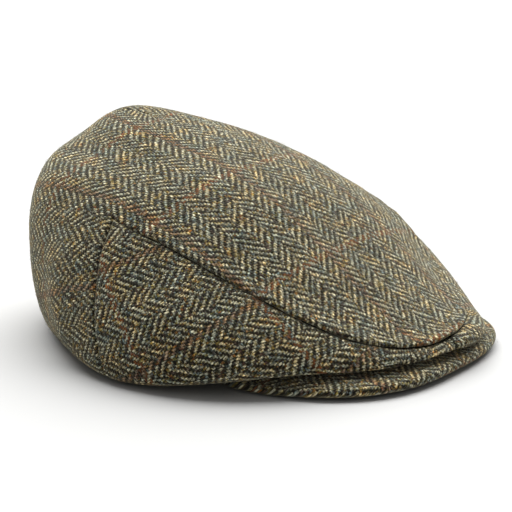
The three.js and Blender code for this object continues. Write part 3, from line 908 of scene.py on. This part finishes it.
def loose_wool():
    """Loose wool fibre: stone and brown hairs that stand off the cloth and catch the light."""
    material = bpy.data.materials.new("Loose wool fibre")
    material.use_nodes = True
    tree = material.node_tree
    tree.nodes.clear()
    place = add(tree, "ShaderNodeTexCoord").outputs["Object"]
    mottle = add(tree, "ShaderNodeTexNoise", {"Vector": place, "Scale": 320.0, "Detail": 1.0}).outputs["Fac"]
    stops = ((0.35, linear("#4A4234")), (0.5, linear("#8C8672")), (0.65, linear("#C4BEA8")))
    tone = add(tree, "ShaderNodeValToRGB", {0: mottle}, stops=stops).outputs["Color"]
    shader = add(tree, "ShaderNodeBsdfPrincipled", {"Base Color": tone, "Roughness": 0.8, "IOR": 1.54})
    add(tree, "ShaderNodeOutputMaterial", {0: shader.outputs[0]})
    return material


# The light from all round, and each lamp: its name, its softness in degrees, its strength and the direction it is in
WORLD_LIGHT = 0.3
LAMPS = (("top_light", 80, 7.6, (0.72, 0.44, 1.0)),)
# Half the floor's width, and the camera: degrees round from the front towards the wearer's right, degrees up, its
# distance, its lens in millimetres, and how far across and up from the middle of the head opening it aims
FLOOR_SIZE = 4.0
CAMERA_AROUND = 55.4
CAMERA_RISE = 15.8
CAMERA_DISTANCE = 1.4
CAMERA_LENS = 176.4
AIM_ACROSS = 0.00642
AIM_UP = 0.04077


class FLATCAP_OT_stage(bpy.types.Operator):
    """Make the pale floor, the soft studio light and the camera"""

    bl_idname = "flatcap.stage"
    bl_label = "Make Stage"

    def execute(self, context):
        scene = context.scene
        bm = bmesh.new()
        bmesh.ops.create_grid(bm, x_segments=1, y_segments=1, size=FLOOR_SIZE)
        floor = new_piece("pale_floor", bm)
        floor.data.materials.append(matt_paper())

        world = bpy.data.worlds.new("studio")
        scene.world = world
        world.use_nodes = True
        world.node_tree.nodes["Background"].inputs["Color"].default_value = (1, 1, 1, 1)
        world.node_tree.nodes["Background"].inputs["Strength"].default_value = WORLD_LIGHT
        for name, angle, strength, heading in LAMPS:
            lamp = bpy.data.objects.new(name, bpy.data.lights.new(name, "SUN"))
            lamp.data.angle = math.radians(angle)
            lamp.data.energy = strength
            lamp.rotation_euler = Vector(heading).to_track_quat("Z", "Y").to_euler()
            scene.collection.objects.link(lamp)

        around, rise = math.radians(CAMERA_AROUND), math.radians(CAMERA_RISE)
        back = Vector((-math.sin(around) * math.cos(rise), -math.cos(around) * math.cos(rise), math.sin(rise)))
        right = Vector((math.cos(around), -math.sin(around), 0))
        aim = AIM_ACROSS * right + AIM_UP * back.cross(right) + Vector((0, Crown(scene.cap_sizes).shift, 0))
        camera = bpy.data.objects.new("camera", bpy.data.cameras.new("camera"))
        camera.data.lens = CAMERA_LENS
        camera.location = aim + CAMERA_DISTANCE * back
        camera.rotation_euler = back.to_track_quat("Z", "Y").to_euler()
        scene.collection.objects.link(camera)
        scene.camera = camera
        scene.view_settings.view_transform = "Standard"
        return {"FINISHED"}


def matt_paper():
    """Matt pale grey paper: a smooth sheet with a barely seen mottle, and no gloss."""
    material = bpy.data.materials.new("Matt pale grey paper")
    material.use_nodes = True
    tree = material.node_tree
    tree.nodes.clear()
    place = add(tree, "ShaderNodeTexCoord").outputs["Object"]
    mottle = add(tree, "ShaderNodeTexNoise", {"Vector": place, "Scale": 3.0}).outputs["Fac"]
    stops = ((0.3, linear("#BDBDBC")), (0.7, linear("#C0C0BF")))
    tone = add(tree, "ShaderNodeValToRGB", {0: mottle}, stops=stops).outputs["Color"]
    shader = add(tree, "ShaderNodeBsdfPrincipled", {"Base Color": tone, "Roughness": 1.0, "Specular IOR Level": 0.0})
    add(tree, "ShaderNodeOutputMaterial", {0: shader.outputs[0]})
    return material


class FLATCAP_PT_panel(bpy.types.Panel):
    """The sizes and colours of the cap, and a button for each piece"""

    bl_idname = "FLATCAP_PT_panel"
    bl_label = "Flat Cap"
    bl_space_type = "VIEW_3D"
    bl_region_type = "UI"
    bl_category = "Flat Cap"

    def draw(self, context):
        for group in (context.scene.cap_sizes, context.scene.cap_cloth):
            for key in group.__annotations__:
                self.layout.prop(group, key)
        for operator in OPERATORS:
            self.layout.operator(operator.bl_idname)


OPERATORS = (
    FLATCAP_OT_stage,
    FLATCAP_OT_top_panel,
    FLATCAP_OT_side_panels,
    FLATCAP_OT_peak,
    FLATCAP_OT_fibres,
)
CLASSES = (CapSizes, CapCloth, *OPERATORS, FLATCAP_PT_panel)


def register():
    for one in CLASSES:
        bpy.utils.register_class(one)
    bpy.types.Scene.cap_sizes = bpy.props.PointerProperty(type=CapSizes)
    bpy.types.Scene.cap_cloth = bpy.props.PointerProperty(type=CapCloth)


def unregister():
    del bpy.types.Scene.cap_sizes
    del bpy.types.Scene.cap_cloth
    for one in reversed(CLASSES):
        bpy.utils.unregister_class(one)


def main():
    register()
    bpy.ops.flatcap.stage()
    bpy.ops.flatcap.top_panel()
    bpy.ops.flatcap.side_panels()
    bpy.ops.flatcap.peak()
    bpy.ops.flatcap.fibres()


if __name__ == "__main__":
    main()
